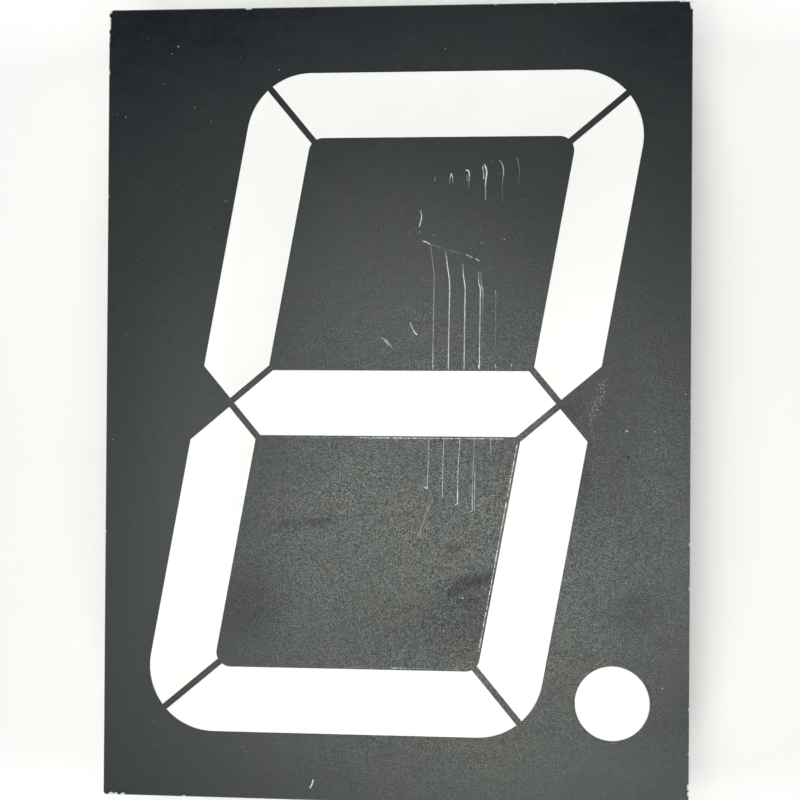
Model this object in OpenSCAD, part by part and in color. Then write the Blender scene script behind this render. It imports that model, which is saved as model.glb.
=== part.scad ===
// Seven segment display, one large digit with a decimal point.
// It lies face up: +X to the digit's right, +Y to the digit's top, +Z out of the face.
// The origin is the centre of the pin pattern, on the plane the four corner pads stand on.

/* [Package] */
// Width of the face
body_w = 90; // [86:0.5:96]
// Height of the face
body_h = 122; // [118:0.5:128]
// Depth from the corner pads to the printed face
body_d = 15; // [12:0.5:18]
// Radius of the four upright edges
edge_r = 0.5; // [0.3:0.1:1.5]
// Thickness of the face plate
plate_t = 2; // [1.5:0.1:3]
// Thickness of the side walls in front of the board
wall_t = 2.6; // [2:0.1:4]
// Thickness of the rear rim around the board
rim_t = 1.6; // [1.2:0.1:2.4]
// Height of the four corner pads
pad_h = 0.6; // [0.3:0.1:1]
// Length of each leg of a corner pad
pad_leg = 8; // [4:1:16]
// Thickness of the printed black layer
print_t = 0.1; // [0.05:0.05:0.2]

/* [Digit] */
// Height of the digit
digit_h = 101.6; // [95:0.1:106]
// Width of the digit, outer edge to outer edge at one height
digit_w = 61.2; // [56:0.1:66]
// Slant of the upright strokes in degrees
slant = 10.2; // [0:0.1:15]
// Width of every stroke
stroke = 10.05; // [8:0.05:12]
// Gap between strokes
gap = 0.95; // [0.5:0.05:2]
// Corner radius of the two black panels at the top and bottom strokes
panel_r = 2.2; // [0.5:0.1:4]
// Diameter of the decimal point
dp_d = 11.3; // [8:0.1:13]
// Decimal point's centre, to the right of the digit's centre
dp_x = 33.5; // [32:0.1:36]
// Thickness of the reflector walls outside the strokes
well_t = 1.2; // [0.8:0.1:2]

/* [Board and light sources] */
// Thickness of the circuit board
board_t = 1.6; // [1:0.2:2.4]
// Height of the board's back above the pads' plane
board_z = 2; // [1.6:0.1:3]
// Clearance of the board in the rim, each side
board_gap = 0.2; // [0.1:0.05:0.5]
// Light sources in one stroke
leds_per_stroke = 4; // [2:1:4]
// Length of one light source
led_l = 3.5; // [2:0.1:4]
// Width of one light source
led_w = 2.8; // [1.5:0.1:3]
// Height of one light source
led_h = 1.9; // [0.8:0.1:2.2]
// Distance between light sources along a stroke
led_pitch = 11; // [8:0.5:12]
// Distance between the two light sources of the decimal point
led_dp_pitch = 3.6; // [3.2:0.1:4.4]

/* [Pegs] */
// Radius of a peg where it goes through the board
peg_r = 1.2; // [0.8:0.1:1.6]
// Radius of the boss a peg stands on
boss_r = 2.2; // [1.8:0.1:2.5]
// Radius of a peg's formed head
head_r = 2.1; // [1.7:0.1:2.6]
// Height of a peg's formed head
head_h = 1; // [0.6:0.1:1.2]

/* [Pins] */
// Distance between pins in a row
pin_pitch = 2.54; // [2:0.02:5.08]
// Distance between the two rows
row_pitch = 109.22; // [101.6:2.54:111.76]
// Radius of a pin
pin_r = 0.4; // [0.25:0.05:0.5]
// Length of a pin below the pads' plane
pin_len = 6; // [3:0.5:10]
// Length of the chamfer on a pin's tip
tip_h = 0.4; // [0.2:0.1:0.8]

/* [Hidden] */
$fn = 64;
pins_per_row = 6;
tan_s = tan(slant);
cos_s = cos(slant);
stroke_x = stroke / cos_s;           // an upright stroke, measured level
face_z = body_d - print_t;           // front of the moulding
plate_z = face_z - plate_t;          // back of the face plate
board_top = board_z + board_t;       // front of the board, where the wells end
dp_y = -digit_h / 2 + dp_d / 2;      // the point stands on the digit's base line
half_in_w = digit_w / 2 - stroke_x;  // half width between the upright strokes
half_in_h = digit_h / 2 - stroke;    // half height between the top and bottom strokes
tail_r = pin_r - 0.05;               // the pin's tail in the board
hole_r = pin_r + 0.1;                // plated hole for it
solder_z = board_z - 1.1;            // where the solder ends on the pin
arc_n = 10;                          // flats on a quarter of a drawn corner
peg_at = [[36, 55], [-36, 55], [36, -55], [-36, -55], [4.1, 23], [-4.1, -23], [38, -8], [-38, 8]];
led_row = [for (i = [0:leds_per_stroke - 1]) (i - (leds_per_stroke - 1) / 2) * led_pitch];

// ---- geometry of the slanted digit -------------------------------------

function skew(x, y) = [x + y * tan_s, y];
function unit(v) = v / norm(v);
function dir(a) = [cos(a), sin(a)];
function arc(c, r, a0, a1, n = arc_n) = [for (i = [0:n]) c + r * dir(a0 + (a1 - a0) * i / n)];
function back_to_front(l) = [for (i = [len(l) - 1:-1:0]) l[i]];
function turned(l) = [for (p = l) -p];

up = 90 - slant;                     // direction of the upright strokes
rise = up / 2;                       // the two mitre directions are square to each other
fall = rise + 90;
e1 = dir(rise);
e2 = dir(fall);
in_tl = skew(-half_in_w, half_in_h); // where the inner edges meet, top left
in_tr = skew(half_in_w, half_in_h);
j_l = [-(digit_w - stroke_x) / 2, 0];// where the mitres cross beside the middle stroke
j_r = -j_l;

// A corner's two arcs on one side of its mitre. c is the inner corner, a_m the mitre's outward direction and
// a_e the direction square to the stroke's edge. The outer arc is centred on c, the inner one in the black panel.
function outer_arc(c, a_m, a_e) =
    arc(c, stroke, a_m + sign(a_e - a_m) * asin(gap / 2 / stroke), a_e);
function inner_arc(c, a_m, a_e) =
    arc(c - dir(a_m) * panel_r / cos(a_e - a_m), panel_r, a_e,
        a_m + sign(a_e - a_m) * asin(gap / 2 / panel_r), 6);

// The point at p, q along the two mitres of a crossing, slid along one of them to an upright edge or to a level one.
function slide_x(j, off, d, x0) = let (s = j + off)
    s + d * (x0 - s[0] + s[1] * tan_s) / (d[0] - d[1] * tan_s);
function slide_y(j, off, d, y0) = let (s = j + off) s + d * (y0 - s[1]) / d[1];

h = gap / 2;
stroke_a = concat(
    outer_arc(in_tl, fall, 90),
    back_to_front(outer_arc(in_tr, rise, 90)),
    back_to_front(inner_arc(in_tr, rise, 90)),
    inner_arc(in_tl, fall, 90));
stroke_f = concat(
    back_to_front(outer_arc(in_tl, fall, up + 90)),
    back_to_front(inner_arc(in_tl, fall, up + 90)),
    [slide_x(j_l, h * e2, e1, -half_in_w), j_l + h * (e1 + e2), slide_x(j_l, h * e1, e2, -digit_w / 2)]);
stroke_b = concat(
    outer_arc(in_tr, rise, up - 90),
    [slide_x(j_r, h * e2, e1, digit_w / 2), j_r + h * (e1 + e2), slide_x(j_r, h * e1, e2, half_in_w)],
    inner_arc(in_tr, rise, up - 90));
g_left = [slide_y(j_l, h * e1, e2, -stroke / 2), j_l + h * (e1 - e2), slide_y(j_l, -h * e2, e1, stroke / 2)];
stroke_g = concat(g_left, turned(g_left));
strokes = [stroke_a, stroke_b, turned(stroke_f), turned(stroke_a), turned(stroke_b), stroke_f, stroke_g];

// centre and direction of each stroke, for what lies under it
mid_y = (digit_h / 2 - stroke / 2) / 2;
mid_x = (digit_w - stroke_x) / 2;
stroke_at = [[skew(0, 2 * mid_y), 0], [skew(mid_x, mid_y), up], [skew(mid_x, -mid_y), up], [skew(0, -2 * mid_y), 0],
             [skew(-mid_x, -mid_y), up], [skew(-mid_x, mid_y), up], [[0, 0], 0]];

// outline of the whole digit, grown by w, and of one black panel, shrunk by w
function digit_outline(w) = concat(
    arc(in_tr, stroke + w, up - 90, 90), arc(in_tl, stroke + w, 90, up + 90),
    arc(-in_tr, stroke + w, up + 90, 270), arc(-in_tl, stroke + w, 270, up + 270));
function panel(w) = [
    skew(-half_in_w + w / cos_s, stroke / 2 + w), skew(half_in_w - w / cos_s, stroke / 2 + w),
    skew(half_in_w - w / cos_s, half_in_h - w), skew(-half_in_w + w / cos_s, half_in_h - w)];
function rect(w, l, r) = concat(
    arc([w / 2 - r, l / 2 - r], r, 0, 90, 6), arc([-w / 2 + r, l / 2 - r], r, 90, 180, 6),
    arc([-w / 2 + r, -l / 2 + r], r, 180, 270, 6), arc([w / 2 - r, -l / 2 + r], r, 270, 360, 6));

module slab(points, z0, z1) translate([0, 0, z0]) linear_extrude(z1 - z0) polygon(points);

// ---- housing -----------------------------------------------------------

module wells(z0, z1) {
    for (s = strokes) slab(s, z0, z1);
    translate([dp_x, dp_y, z0]) cylinder(h = z1 - z0, r = dp_d / 2);
}

module well_walls() {
    difference() {
        slab(digit_outline(well_t), board_top, plate_z + 1);
        slab(panel(well_t), board_top - 1, plate_z + 2);
        slab(turned(panel(well_t)), board_top - 1, plate_z + 2);
    }
    translate([dp_x, dp_y, board_top]) cylinder(h = plate_z + 1 - board_top, r = dp_d / 2 + well_t);
}

module peg(at) translate([at[0], at[1], 0]) {
    cap_r = (head_r * head_r + head_h * head_h) / (2 * head_h);
    translate([0, 0, board_top]) cylinder(h = plate_z + 1 - board_top, r = boss_r);
    translate([0, 0, board_z - 0.2]) cylinder(h = board_t + 1, r = peg_r);
    intersection() {
        translate([0, 0, board_z - head_h + cap_r]) sphere(r = cap_r);
        translate([-5, -5, board_z - 5]) cube([10, 10, 5]);
    }
}

module corner_pad() for (l = [[pad_leg, rim_t], [rim_t, pad_leg]])
    translate([body_w / 2 - l[0], body_h / 2 - l[1], 0]) cube([l[0], l[1], pad_h + 1]);

module rib(x0, x1, y) translate([x0, y - 0.6, plate_z - 6]) cube([x1 - x0, 1.2, 7]);

module housing() color("whitesmoke") difference() {
    union() {
        difference() {
            slab(rect(body_w, body_h, edge_r), pad_h, face_z);
            slab(rect(body_w - 2 * rim_t, body_h - 2 * rim_t, 1), pad_h - 1, board_top);
            slab(rect(body_w - 2 * wall_t, body_h - 2 * wall_t, 1), board_top - 1, plate_z);
        }
        intersection() {
            slab(rect(body_w, body_h, edge_r), -1, face_z);
            for (a = [0, 1], b = [0, 1]) mirror([a, 0, 0]) mirror([0, b, 0]) corner_pad();
        }
        well_walls();
        for (p = peg_at) peg(p);
        for (y = [-20, 30]) {
            rib(-body_w / 2 + 1, skew(-digit_w / 2, y)[0] + 1, y);
            rib(skew(digit_w / 2, -y)[0] - 1, body_w / 2 - 1, -y);
        }
    }
    wells(board_top - 1, body_d + 1);
}

module face_print() color("#2c3031") difference() {
    slab(rect(body_w, body_h, edge_r), face_z, body_d);
    wells(face_z - 1, body_d + 1);
}

// ---- resin fills -------------------------------------------------------

module fill(i) color("white") difference() {
    slab(strokes[i], board_top, body_d);
    led_row_at(stroke_at[i]);
}
module segment_a() fill(0);
module segment_b() fill(1);
module segment_c() fill(2);
module segment_d() fill(3);
module segment_e() fill(4);
module segment_f() fill(5);
module segment_g() fill(6);

module decimal_point() color("white") difference() {
    translate([dp_x, dp_y, board_top]) cylinder(h = body_d - board_top, r = dp_d / 2);
    led_pair();
}

// ---- board and light sources -------------------------------------------

module circuit_board() color("#2f6b3f") difference() {
    slab(rect(body_w - 2 * (rim_t + board_gap), body_h - 2 * (rim_t + board_gap), 1), board_z, board_top);
    for (i = [1:2 * pins_per_row]) translate(concat(pin_at(i), board_z - 1)) cylinder(h = board_t + 2, r = hole_r);
    for (p = peg_at) translate([p[0], p[1], board_z - 1]) cylinder(h = board_t + 2, r = peg_r + 0.1);
}

// one light source, with the clipped corner that marks its polarity
module led() translate([-led_l / 2, -led_w / 2, board_top])
    linear_extrude(led_h) polygon([[0, 0], [led_l, 0], [led_l, led_w], [0.7, led_w], [0, led_w - 0.7]]);

module led_row_at(s) for (t = led_row)
    translate([s[0][0] + t * cos(s[1]), s[0][1] + t * sin(s[1]), 0]) rotate([0, 0, s[1]]) led();
module led_pair() for (t = [-0.5, 0.5]) translate([dp_x + t * led_dp_pitch, dp_y, 0]) rotate([0, 0, 90]) led();

module leds_a() color("#e8e2c8") led_row_at(stroke_at[0]);
module leds_b() color("#e8e2c8") led_row_at(stroke_at[1]);
module leds_c() color("#e8e2c8") led_row_at(stroke_at[2]);
module leds_d() color("#e8e2c8") led_row_at(stroke_at[3]);
module leds_e() color("#e8e2c8") led_row_at(stroke_at[4]);
module leds_f() color("#e8e2c8") led_row_at(stroke_at[5]);
module leds_g() color("#e8e2c8") led_row_at(stroke_at[6]);
module leds_dp() color("#e8e2c8") led_pair();

// ---- pins and solder ---------------------------------------------------

// pins are numbered from the lower left, along the lower row, and back along the upper one
function pin_at(i) = i <= pins_per_row
    ? [(i - (pins_per_row + 1) / 2) * pin_pitch, -row_pitch / 2]
    : [((3 * pins_per_row + 1) / 2 - i) * pin_pitch, row_pitch / 2];

module pin(i) color("#c9cbca") translate(concat(pin_at(i), 0)) rotate_extrude() polygon([
    [0, -pin_len], [pin_r * 0.55, -pin_len], [pin_r, -pin_len + tip_h], [pin_r, solder_z],
    [tail_r, solder_z], [tail_r, board_top + 0.8], [0, board_top + 0.8]]);
module pin_1() pin(1);
module pin_2() pin(2);
module pin_3() pin(3);
module pin_4() pin(4);
module pin_5() pin(5);
module pin_6() pin(6);
module pin_7() pin(7);
module pin_8() pin(8);
module pin_9() pin(9);
module pin_10() pin(10);
module pin_11() pin(11);
module pin_12() pin(12);

module solder_joints() color("#b9bcbc") for (i = [1:2 * pins_per_row]) translate(concat(pin_at(i), 0))
    rotate_extrude() polygon([
        [tail_r, solder_z], [pin_r + 0.05, solder_z], [0.62, solder_z + 0.5], [1, board_z], [hole_r, board_z],
        [hole_r, board_top], [0.8, board_top], [tail_r + 0.05, board_top + 0.6], [tail_r, board_top + 0.6]]);

// ---- nodes -------------------------------------------------------------

housing();
face_print();
segment_a();
segment_b();
segment_c();
segment_d();
segment_e();
segment_f();
segment_g();
decimal_point();
circuit_board();
leds_a();
leds_b();
leds_c();
leds_d();
leds_e();
leds_f();
leds_g();
leds_dp();
pin_1();
pin_2();
pin_3();
pin_4();
pin_5();
pin_6();
pin_7();
pin_8();
pin_9();
pin_10();
pin_11();
pin_12();
solder_joints();
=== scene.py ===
import math
import random

import bmesh
import bpy
import numpy as np
from mathutils import Matrix, Vector
from mathutils.geometry import delaunay_2d_cdt


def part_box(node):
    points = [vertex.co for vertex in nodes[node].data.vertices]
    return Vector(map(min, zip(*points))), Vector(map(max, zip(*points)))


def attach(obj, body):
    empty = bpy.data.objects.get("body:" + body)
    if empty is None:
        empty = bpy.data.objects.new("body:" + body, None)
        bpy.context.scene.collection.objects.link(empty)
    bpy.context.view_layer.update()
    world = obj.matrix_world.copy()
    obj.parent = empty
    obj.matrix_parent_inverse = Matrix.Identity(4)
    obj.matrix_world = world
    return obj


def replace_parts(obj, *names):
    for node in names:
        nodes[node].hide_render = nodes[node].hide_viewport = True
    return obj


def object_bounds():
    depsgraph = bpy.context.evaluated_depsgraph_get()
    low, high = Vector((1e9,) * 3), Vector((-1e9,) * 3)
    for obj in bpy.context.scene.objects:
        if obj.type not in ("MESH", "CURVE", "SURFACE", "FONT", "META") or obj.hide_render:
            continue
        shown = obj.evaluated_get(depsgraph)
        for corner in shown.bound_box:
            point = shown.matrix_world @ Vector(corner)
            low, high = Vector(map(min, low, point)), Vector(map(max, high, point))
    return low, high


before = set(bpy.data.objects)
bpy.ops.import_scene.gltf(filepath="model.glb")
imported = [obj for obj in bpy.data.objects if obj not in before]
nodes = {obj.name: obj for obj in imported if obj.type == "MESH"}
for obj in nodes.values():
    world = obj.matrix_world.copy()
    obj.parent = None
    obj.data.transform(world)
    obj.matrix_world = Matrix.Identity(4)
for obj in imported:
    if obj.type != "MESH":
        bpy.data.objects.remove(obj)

# One large seven segment digit, lying face up. Lengths in the lists below are millimetres
# in the part's own frame; meshes are made in metres.
cad_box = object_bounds()
MM = 0.001
rng = random.Random(41)

FACE_LO, FACE_HI = (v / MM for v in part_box("face_print"))
HX, HY = FACE_HI.x, FACE_HI.y          # half width and half height of the face
Z_FACE, Z_MOULD = FACE_HI.z, FACE_LO.z  # printed surface, and the moulding under it
BOARD_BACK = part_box("circuit_board")[0].z / MM
BOARD_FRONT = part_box("circuit_board")[1].z / MM
PINS = [(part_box("pin_%d" % i)[0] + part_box("pin_%d" % i)[1]) / 2 / MM for i in range(1, 13)]


# ------------------------------------------------------------------ camera
scene = bpy.context.scene
scene.view_settings.view_transform = "Standard"
scene.view_settings.look = "None"
scene.view_settings.exposure = 0.0
scene.view_settings.gamma = 1.0

turn = Vector((0.00734, 0.110203, 0.006349))
cam_data = bpy.data.cameras.new("camera")
cam_data.sensor_width = 36.0
cam_data.lens = 85.5
cam_data.clip_start = 0.01
cam_data.dof.use_dof = False
camera = bpy.data.objects.new("camera", cam_data)
camera.matrix_world = Matrix.Translation((0.03295, -0.001506, 0.303917)) @ Matrix.Rotation(turn.length, 4, turn.normalized())
scene.collection.objects.link(camera)
scene.camera = camera


# ------------------------------------------------------------------ material helpers
class Look:
    """A node material whose textures are laid out in millimetres of the part's frame."""

    def __init__(self, name):
        self.mat = bpy.data.materials.new(name)
        self.mat.use_nodes = True
        self.tree = self.mat.node_tree
        self.tree.nodes.clear()
        self.out = self.new("ShaderNodeOutputMaterial")
        self.bsdf = self.new("ShaderNodeBsdfPrincipled")
        self.link(self.bsdf.outputs[0], self.out.inputs[0])
        self.coords = self.new("ShaderNodeTexCoord").outputs["Object"]
        self.mm = self.stretch((1, 1, 1))

    def new(self, kind):
        return self.tree.nodes.new(kind)

    def link(self, a, b):
        self.tree.links.new(a, b)

    def put(self, socket, value):
        if isinstance(value, bpy.types.NodeSocket):
            self.link(value, socket)
        else:
            socket.default_value = value

    def stretch(self, scale, turn_z=0.0):
        n = self.new("ShaderNodeMapping")
        n.inputs["Scale"].default_value = [s / MM for s in scale]
        n.inputs["Rotation"].default_value = (0, 0, turn_z)
        self.link(self.coords, n.inputs["Vector"])
        return n.outputs[0]

    def noise(self, scale, detail=2.0, rough=0.5, vec=None):
        n = self.new("ShaderNodeTexNoise")
        n.inputs["Scale"].default_value = scale
        n.inputs["Detail"].default_value = detail
        n.inputs["Roughness"].default_value = rough
        self.link(vec or self.mm, n.inputs["Vector"])
        return n.outputs["Fac"]

    def cells(self, scale, vec=None, jitter=1.0, flat=False):
        n = self.new("ShaderNodeTexVoronoi")
        n.voronoi_dimensions = "2D" if flat else "3D"
        n.inputs["Scale"].default_value = scale
        n.inputs["Randomness"].default_value = jitter
        self.link(vec or self.mm, n.inputs["Vector"])
        return n.outputs["Distance"], n.outputs["Color"]

    def math(self, op, a, b=0.0, clamp=False):
        n = self.new("ShaderNodeMath")
        n.operation = op
        n.use_clamp = clamp
        self.put(n.inputs[0], a)
        self.put(n.inputs[1], b)
        return n.outputs[0]

    def add(self, *terms):
        total = terms[0]
        for t in terms[1:]:
            total = self.math("ADD", total, t)
        return total

    def mul(self, *terms):
        total = terms[0]
        for t in terms[1:]:
            total = self.math("MULTIPLY", total, t)
        return total

    def swing(self, value, amount):
        """A 0..1 texture as a signed change of that size."""
        return self.math("MULTIPLY", self.math("SUBTRACT", value, 0.5), amount)

    def remap(self, value, lo, hi, to_lo=0.0, to_hi=1.0, smooth=True):
        n = self.new("ShaderNodeMapRange")
        n.interpolation_type = "SMOOTHSTEP" if smooth else "LINEAR"
        n.clamp = True
        self.link(value, n.inputs["Value"])
        for key, v in (("From Min", lo), ("From Max", hi), ("To Min", to_lo), ("To Max", to_hi)):
            n.inputs[key].default_value = v
        return n.outputs["Result"]

    def spot(self, cx, cy, rx, ry, angle=0.0, core=0.2):
        """1 inside an ellipse on the face, fading to 0 at its edge."""
        n = self.new("ShaderNodeMapping")
        n.vector_type = "TEXTURE"
        n.inputs["Location"].default_value = (cx, cy, Z_FACE)
        n.inputs["Rotation"].default_value = (0, 0, math.radians(angle))
        n.inputs["Scale"].default_value = (rx, ry, max(rx, ry))
        self.link(self.mm, n.inputs["Vector"])
        d = self.new("ShaderNodeVectorMath")
        d.operation = "LENGTH"
        self.link(n.outputs[0], d.inputs[0])
        return self.remap(d.outputs["Value"], core, 1.0, 1.0, 0.0)

    def mix(self, fac, a, b):
        n = self.new("ShaderNodeMix")
        n.data_type = "RGBA"
        n.clamp_factor = True
        self.put(n.inputs[0], fac)
        for socket, v in ((n.inputs[6], a), (n.inputs[7], b)):
            self.put(socket, v if isinstance(v, bpy.types.NodeSocket) else (*v, 1.0))
        return n.outputs[2]

    def axis(self, which):
        n = self.new("ShaderNodeSeparateXYZ")
        self.link(self.mm, n.inputs[0])
        return n.outputs[which]

    def attribute(self, name):
        n = self.new("ShaderNodeAttribute")
        n.attribute_name = name
        return n.outputs["Fac"]

    def bump(self, height, depth_mm, strength=1.0, below=None):
        n = self.new("ShaderNodeBump")
        n.inputs["Strength"].default_value = strength
        n.inputs["Distance"].default_value = depth_mm * MM
        self.link(height, n.inputs["Height"])
        if below is not None:
            self.link(below, n.inputs["Normal"])
        return n.outputs[0]

    def finish(self, color=None, rough=None, normal=None, **fixed):
        if color is not None:
            self.put(self.bsdf.inputs["Base Color"], color if isinstance(color, bpy.types.NodeSocket) else (*color, 1.0))
        if rough is not None:
            self.put(self.bsdf.inputs["Roughness"], rough)
        if normal is not None:
            self.link(normal, self.bsdf.inputs["Normal"])
        for key, v in fixed.items():
            self.bsdf.inputs[key.replace("_", " ")].default_value = v
        return self.mat


# ------------------------------------------------------------------ materials
def ink_look():
    """Screen printed matt black over a fine grained moulding, scuffed and scratched to the white plastic, with painted
    highlight in its grain and painted glint lines beside the strokes.
    """
    k = Look("ink")
    grain = k.noise(5.6, 1.0, 0.5)
    grain_b = k.noise(2.3, 2.0, 0.6)
    level = k.remap(k.noise(0.55, 3.0, 0.55, k.stretch((0.22, 1.7, 1.0))), 0.32, 0.68)
    plumb = k.remap(k.noise(0.55, 3.0, 0.55, k.stretch((1.7, 0.22, 1.0))), 0.32, 0.68)
    cloud = k.noise(0.045, 4.0, 0.6)
    cloud_b = k.remap(k.noise(0.16, 3.0, 0.6), 0.30, 0.70)

    # the grain stands out most in the lower panel and the print is smoother at the top and the corners, in bump and
    # roughness; the same mask paints the grain lighter there, a painted highlight where the sheen falls
    grain_and_highlight = k.math("MAXIMUM", k.spot(11, -21, 52, 56, 0, 0.3), k.mul(k.spot(36, -50, 26, 26, 0, 0.1), 0.30))
    grain_and_highlight = k.remap(grain_and_highlight, 0, 1, 0.06, 1.0, smooth=False)
    grain_and_highlight = k.add(grain_and_highlight, k.mul(k.spot(30.0, -4, 12, 22, 0, 0.2), -0.33), k.mul(k.spot(46, -8, 11, 44, 0, 0.2), 0.13), k.mul(k.spot(31, -30, 12, 14, 0, 0.2), -0.09),
                   k.mul(k.spot(-5, -29, 17, 16, 0, 0.3), -0.17))
    calm = k.remap(k.spot(10, -34, 112, 112, 0, 0.74), 0, 1, -0.075, 0.0, smooth=False)
    left_panel = k.spot(-8, -22, 17, 20, 0, 0.5)

    # fingered smudges in the lower panel and beside the strokes, and broad patches of painted shade that dim the
    # painted highlight: (x, y, half length, half width, angle, strength)
    smudge_and_painted_shade = k.mul(k.spot(9.7, -28.5, 2.8, 1.5, 45), 0.74)
    for x, y, rx, ry, turned, power in (
            (11.9, -27.2, 4.0, 1.9, 16, 0.80), (14.8, -26.5, 2.9, 1.6, 6, 0.62), (11.6, -30.2, 3.6, 2.0, 12, 0.55), (15.4, -29.8, 3.2, 1.8, 0, 0.5),
            (9.4, -21.9, 2.0, 1.2, 0, 0.35), (11.0, -33.0, 13.0, 8.0, 10, 0.32), (-11.6, -18.2, 4.6, 1.2, 5, 0.38), (-15.8, -18.7, 4.6, 1.2, 6, 0.22), (-22.0, -31.0, 9.0, 8.0, 80, 0.27),
            (37.5, -31.0, 7.0, 4.5, 20, 0.22), (26.8, -1.0, 4.5, 4.0, 0, 0.30), (29.0, -12.0, 2.4, 6.0, -10, 0.35), (31.0, -8.0, 9.0, 19.0, 0, 0.17), (-1.0, -34.0, 13.0, 9.0, 0, 0.14)):
        smudge_and_painted_shade = k.math("MAXIMUM", smudge_and_painted_shade, k.mul(k.spot(x, y, rx, ry, turned), power))
    smudge_and_painted_shade = k.mul(smudge_and_painted_shade, k.remap(cloud_b, 0.0, 1.0, 0.82, 1.0))
    smear_up = k.mul(k.spot(20.0, 31.75, 1.15, 0.32, -6, 0.1), 1.0)
    smear_up = k.math("MAXIMUM", smear_up, k.mul(k.spot(22.95, 29.65, 0.8, 0.5, 0, 0.1), 0.45))

    haze = k.math("MAXIMUM", k.spot(31.1, 0.0, 2.2, 5.0, -20, 0.0), k.mul(k.spot(34.3, -5.0, 2.2, 6.5, -8, 0.0), 0.8))
    # painted sheen: broad lighter patches over the upper panel, the bottom right and the left and right edges, where
    # reflected light falls
    painted_sheen_patches = k.math("MAXIMUM", k.spot(-2.0, 22.0, 27.0, 22.0, 0, 0.2), k.mul(k.spot(32.0, -58.0, 42.0, 11.0, 0, 0.2), 1.25))
    painted_sheen_patches = k.math("MAXIMUM", painted_sheen_patches, k.mul(k.spot(-33.0, -3.0, 10.0, 38.0, 0, 0.2), 0.5))
    painted_sheen_patches = k.math("MAXIMUM", painted_sheen_patches, k.mul(k.spot(46.0, -24.0, 9.0, 22.0, 0, 0.2), 0.5))
    mottle = k.remap(k.noise(0.9, 3.0, 0.65), 0.30, 0.70)
    speck_d, speck_c = k.cells(0.62)
    speck_n = k.new("ShaderNodeSeparateColor")
    k.link(speck_c, speck_n.inputs[0])
    rare = k.remap(speck_n.outputs[0], 0.80, 1.0)
    specks = k.mul(k.remap(speck_d, 0.03, 0.10, 1.0, 0.0), rare, 0.55)
    worms = k.mul(haze, k.remap(k.noise(2.6, 2.0, 0.7), 0.56, 0.68), 0.5)

    # per-vertex marks: scratches, chips and specks bare the white plastic, and so do the painted glint lines beside
    # the strokes; negative values are dirt stains
    wear_and_glint = k.attribute("wear_and_glint")
    beads = k.add(k.remap(grain, 0.36, 0.60, 0.75, 1.3), k.mul(k.spot(10, -22, 34, 30, 0, 0.6), k.remap(k.noise(2.7, 1.5, 0.5), 0.36, 0.62, -0.50, 0.35)))
    bare_and_glint = k.math("MULTIPLY", k.math("MAXIMUM", wear_and_glint, 0.0), beads, clamp=True)
    stain = k.math("MAXIMUM", k.math("MULTIPLY", wear_and_glint, -1.0), 0.0)

    # each grain of the surface has its own brightness and cast; a faint weave and clouds run through them. The grains'
    # lightening is a painted highlight, masked to where the sheen falls, with more contrast around the lower panel and
    # an olive colour towards the bottom right
    dot_d, dots = k.cells(4.4, flat=True, jitter=0.85)
    dot_n = k.new("ShaderNodeSeparateColor")
    k.link(dots, dot_n.inputs[0])
    weave = k.add(0.58, k.mul(level, 0.42), k.mul(plumb, left_panel, 0.44), k.swing(cloud_b, 0.40))
    each = k.add(0.12, k.mul(dot_n.outputs[0], 0.96))
    each = k.add(each, k.mul(k.spot(13, -20, 16, 22, 0, 0.4), 0.35, k.math("SUBTRACT", each, 0.6)))
    pepper = k.mul(k.remap(dot_d, 0.10, 0.50, 1.0, 0.0), each, weave)
    painted_sheen_and_haze = k.math("ADD", k.mul(pepper, grain_and_highlight, 0.73), k.add(k.mul(haze, 0.015), k.mul(painted_sheen_patches, 0.040), k.swing(mottle, 0.016)), clamp=True)
    tint = k.math("ADD", k.swing(dot_n.outputs[1], 0.5), k.remap(k.noise(0.11, 3.0, 0.6), 0.33, 0.67), clamp=True)
    olive = k.spot(13, -41, 38, 40, 0, 0.1)
    cast = k.mix(tint, k.mix(olive, (0.250, 0.305, 0.292), (0.272, 0.306, 0.262)), k.mix(olive, (0.318, 0.318, 0.258), (0.326, 0.318, 0.212)))
    tone = k.mix(painted_sheen_and_haze, (0.0022, 0.0050, 0.0084), cast)
    tone = k.mix(specks, tone, (0.16, 0.165, 0.16))
    tone = k.mix(worms, tone, (0.10, 0.10, 0.098))
    # smudges darken the print, and the broad patches among them are painted shade over the painted highlight; dirt
    # stains darken it too
    tone = k.mix(k.math("MAXIMUM", k.math("MAXIMUM", smudge_and_painted_shade, smear_up), stain), tone, (0.0030, 0.0036, 0.004))
    color = k.mix(bare_and_glint, tone, (0.82, 0.82, 0.80))

    rough = k.add(0.345, calm, k.mul(k.spot(46, -34, 40, 46, 0, 0.0), -0.017), k.mul(k.spot(50, 60, 30, 50, 0, 0.0), -0.033), k.mul(k.spot(-24, 62, 34, 22, 0, 0.0), -0.039),
                  k.swing(cloud, 0.030), k.swing(cloud_b, 0.014), k.mul(smudge_and_painted_shade, 0.170), k.mul(smear_up, -0.15), k.mul(stain, 0.40),
                  k.mul(k.swing(dot_n.outputs[2], 0.18), grain_and_highlight),
                  k.swing(level, 0.018), k.mul(k.swing(plumb, 0.022), left_panel),
                  k.swing(k.remap(k.noise(0.55, 2.0, 0.5), 0.32, 0.68), 0.010))
    rough = k.add(rough, k.mul(bare_and_glint, 0.16))
    height = k.add(k.mul(grain, grain_and_highlight), k.mul(grain_b, 0.25))
    normal = k.bump(height, 0.020, 0.45)
    return k.finish(color, rough, normal, Specular_IOR_Level=0.5)


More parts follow.
